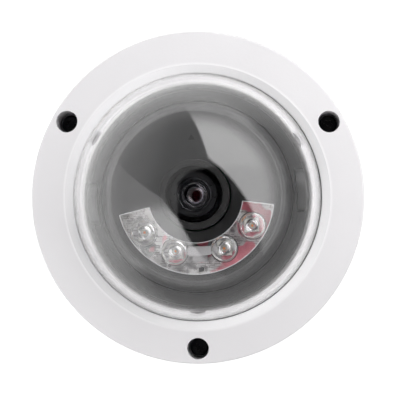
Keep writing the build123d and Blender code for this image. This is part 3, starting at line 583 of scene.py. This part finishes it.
smooth_bubble()
gasket_lip()
GLASS_LOW = box("front_lens")[0].z
lens_baffle(GLASS_LOW)
lens_bright_ring(GLASS_LOW - 0.3 * MM)
lens_inner_element(GLASS_LOW - 0.3 * MM)
lens_retaining_ring()
lens_front_groove()
lamp_tray()
window_edge_painted_highlight()
lamp_dies()
small_parts("main_board", "main_board", "back_box", 90, 6 * MM, 40 * MM, ON_BOARD, 3)
small_parts("lamp_board", "lamp_board", "head_group", 26, 16 * MM, 28.5 * MM,
            ("lamp_window", "lamp_bridge"), 5)

# ---------------------------------------------------------------- studio

COVER_R = box("cover")[1].x
CAMERA_HEIGHT = 0.75
AIM = Vector((0.0006, -0.0009, 0.045))
VIEW_HALF_WIDTH = COVER_R * 1.208       # at the height of the aim
CAMERA_DISTANCE = CAMERA_HEIGHT - AIM.z


def make_camera():
    """Camera above the dome, a little to the lower right, with its lens shifted back."""
    data = bpy.data.cameras.new("camera")
    data.sensor_width = 36.0
    data.lens = data.sensor_width / 2 * CAMERA_DISTANCE / VIEW_HALF_WIDTH
    data.clip_start = 0.05
    camera = bpy.data.objects.new("camera", data)
    bpy.context.scene.collection.objects.link(camera)
    aside = Vector((0.028, -0.020, 0.0))
    camera.location = AIM + aside + Vector((0.0, 0.0, CAMERA_DISTANCE))
    data.shift_x = -aside.x / (2 * VIEW_HALF_WIDTH)
    data.shift_y = -aside.y / (2 * VIEW_HALF_WIDTH)
    bpy.context.scene.camera = camera


def make_floor():
    """White table that glows into the camera and, less, into reflections."""
    mesh = bpy.data.meshes.new("floor")
    half = 6.0
    corners = [(-half, -half, 0), (half, -half, 0), (half, half, 0), (-half, half, 0)]
    mesh.from_pydata(corners, [], [(0, 1, 2, 3)])
    floor = bpy.data.objects.new("floor", mesh)
    bpy.context.scene.collection.objects.link(floor)
    pale = Shader("floor", (0.40, 0.40, 0.40), 0.7, Specular_IOR_Level=0.1)
    pale.set("Emission Color", (1, 1, 1, 1))
    # the table glows less towards the lower right, where the studio is dark
    place = pale.add("ShaderNodeVectorMath", operation="DOT_PRODUCT")
    pale.link(pale.position(), place.inputs[0])
    place.inputs[1].default_value = (-0.8, 0.6, 0.0)
    glow = pale.remap(place.outputs["Value"], -0.08, 0.16, 0.02, 1.0)
    path = pale.add("ShaderNodeLightPath")
    seen = path.outputs["Is Camera Ray"]
    mix = pale.add("ShaderNodeMix", data_type="FLOAT")
    mix.inputs["B"].default_value = 0.82
    pale.link(glow, mix.inputs["A"])
    pale.link(seen, mix.inputs["Factor"])
    pale.link(mix.outputs["Result"], pale.bsdf.inputs["Emission Strength"])
    mesh.materials.append(pale.material)


class Sky:
    """Studio surroundings, drawn on a flat ceiling one unit above the object."""

    def __init__(self):
        self.world = bpy.data.worlds.new("studio")
        self.world.use_nodes = True
        self.tree = self.world.node_tree
        bpy.context.scene.world = self.world
        direction = self.tree.nodes.new("ShaderNodeTexCoord").outputs["Generated"]
        split = self.tree.nodes.new("ShaderNodeSeparateXYZ")
        self.tree.links.new(direction, split.inputs[0])
        self.x, self.y, self.z = split.outputs
        height = self.calc("MAXIMUM", self.z, 0.02)
        self.u = self.calc("DIVIDE", self.x, height)
        self.v = self.calc("DIVIDE", self.y, height)

    def calc(self, operation, *values):
        node = self.tree.nodes.new("ShaderNodeMath")
        node.operation = operation
        for socket, value in zip(node.inputs, values):
            if isinstance(value, (int, float)):
                socket.default_value = value
            else:
                self.tree.links.new(value, socket)
        return node.outputs[0]

    def step(self, value, low, high):
        """Smooth 0 to 1 as value goes from low to high."""
        node = self.tree.nodes.new("ShaderNodeMapRange")
        node.interpolation_type = "SMOOTHSTEP"
        node.inputs["From Min"].default_value = low
        node.inputs["From Max"].default_value = high
        self.tree.links.new(value, node.inputs["Value"])
        return node.outputs["Result"]

    def across(self, angle):
        """Distance on the ceiling along a compass direction, degrees from +X."""
        turn = math.radians(angle)
        along_u = self.calc("MULTIPLY", self.u, math.cos(turn))
        return self.calc("MULTIPLY_ADD", self.v, math.sin(turn), along_u)

    def beyond(self, edges, soft):
        """1 where every edge (angle, distance) is passed, with soft borders."""
        inside = 1.0
        for angle, distance in edges:
            passed = self.step(self.across(angle), distance - soft, distance + soft)
            inside = self.calc("MULTIPLY", passed, inside)
        return inside


def make_sky():
    """Grey studio with two softboxes, a pale wall and a dark opening overhead."""
    sky = Sky()
    steep = sky.calc("SUBTRACT", 1.0, sky.z)
    # grey ceiling, brighter towards the walls
    ceiling = sky.calc("MULTIPLY_ADD", sky.step(steep, 0.6, 1.0), 0.3, 0.45)
    # pale wall on the left
    wall = sky.step(sky.calc("MULTIPLY_ADD", sky.y, 0.4, sky.calc("MULTIPLY", sky.x, -1.0)), 0.55, 1.05)
    ceiling = sky.calc("MULTIPLY_ADD", wall, 0.4, ceiling)
    # softbox to the upper right
    right = sky.beyond([(48.0, 0.70), (8.0, 0.34)], 0.03)
    right_fade = sky.calc("SUBTRACT", 1.0, sky.step(steep, 0.55, 0.95))
    right_glow = sky.calc("MULTIPLY", right, sky.calc("MULTIPLY_ADD", right_fade, 2.65, 0.55))
    # softbox to the lower left, brightest on its lower side
    left = sky.beyond([(218.0, 0.50), (245.0, 0.30), (200.0, 0.42)], 0.03)
    left_fade = sky.calc("SUBTRACT", 1.0, sky.step(steep, 0.15, 0.85))
    lower_side = sky.calc("MULTIPLY_ADD", sky.step(sky.y, -0.05, -0.35), 1.9, 0.5)
    left_glow = sky.calc("MULTIPLY", left, sky.calc("MULTIPLY_ADD", left_fade, lower_side, 0.25))
    # dark opening overhead, towards the lower right
    hole = sky.beyond([(0.0, -0.30), (285.0, -0.42), (315.0, -0.36)], 0.03)
    dark = sky.calc("SUBTRACT", 1.0, sky.calc("MULTIPLY", hole, sky.step(sky.z, 0.15, 0.5)))
    lit = sky.calc("MULTIPLY", ceiling, dark)
    total = sky.calc("ADD", sky.calc("ADD", right_glow, left_glow), lit)
    path = sky.tree.nodes.new("ShaderNodeLightPath")
    seen = path.outputs["Is Camera Ray"]
    shown = sky.calc("ADD", sky.calc("MULTIPLY", total, sky.calc("SUBTRACT", 1.0, seen)), seen)
    background = sky.tree.nodes["Background"]
    sky.tree.links.new(shown, background.inputs["Strength"])
    background.inputs["Color"].default_value = (1.0, 0.995, 1.0, 1.0)


make_camera()
make_floor()
make_sky()
bpy.context.scene.view_settings.view_transform = "Standard"
bpy.context.scene.cycles.max_bounces = 16
bpy.context.scene.cycles.transmission_bounces = 12
bpy.context.scene.cycles.transparent_max_bounces = 16
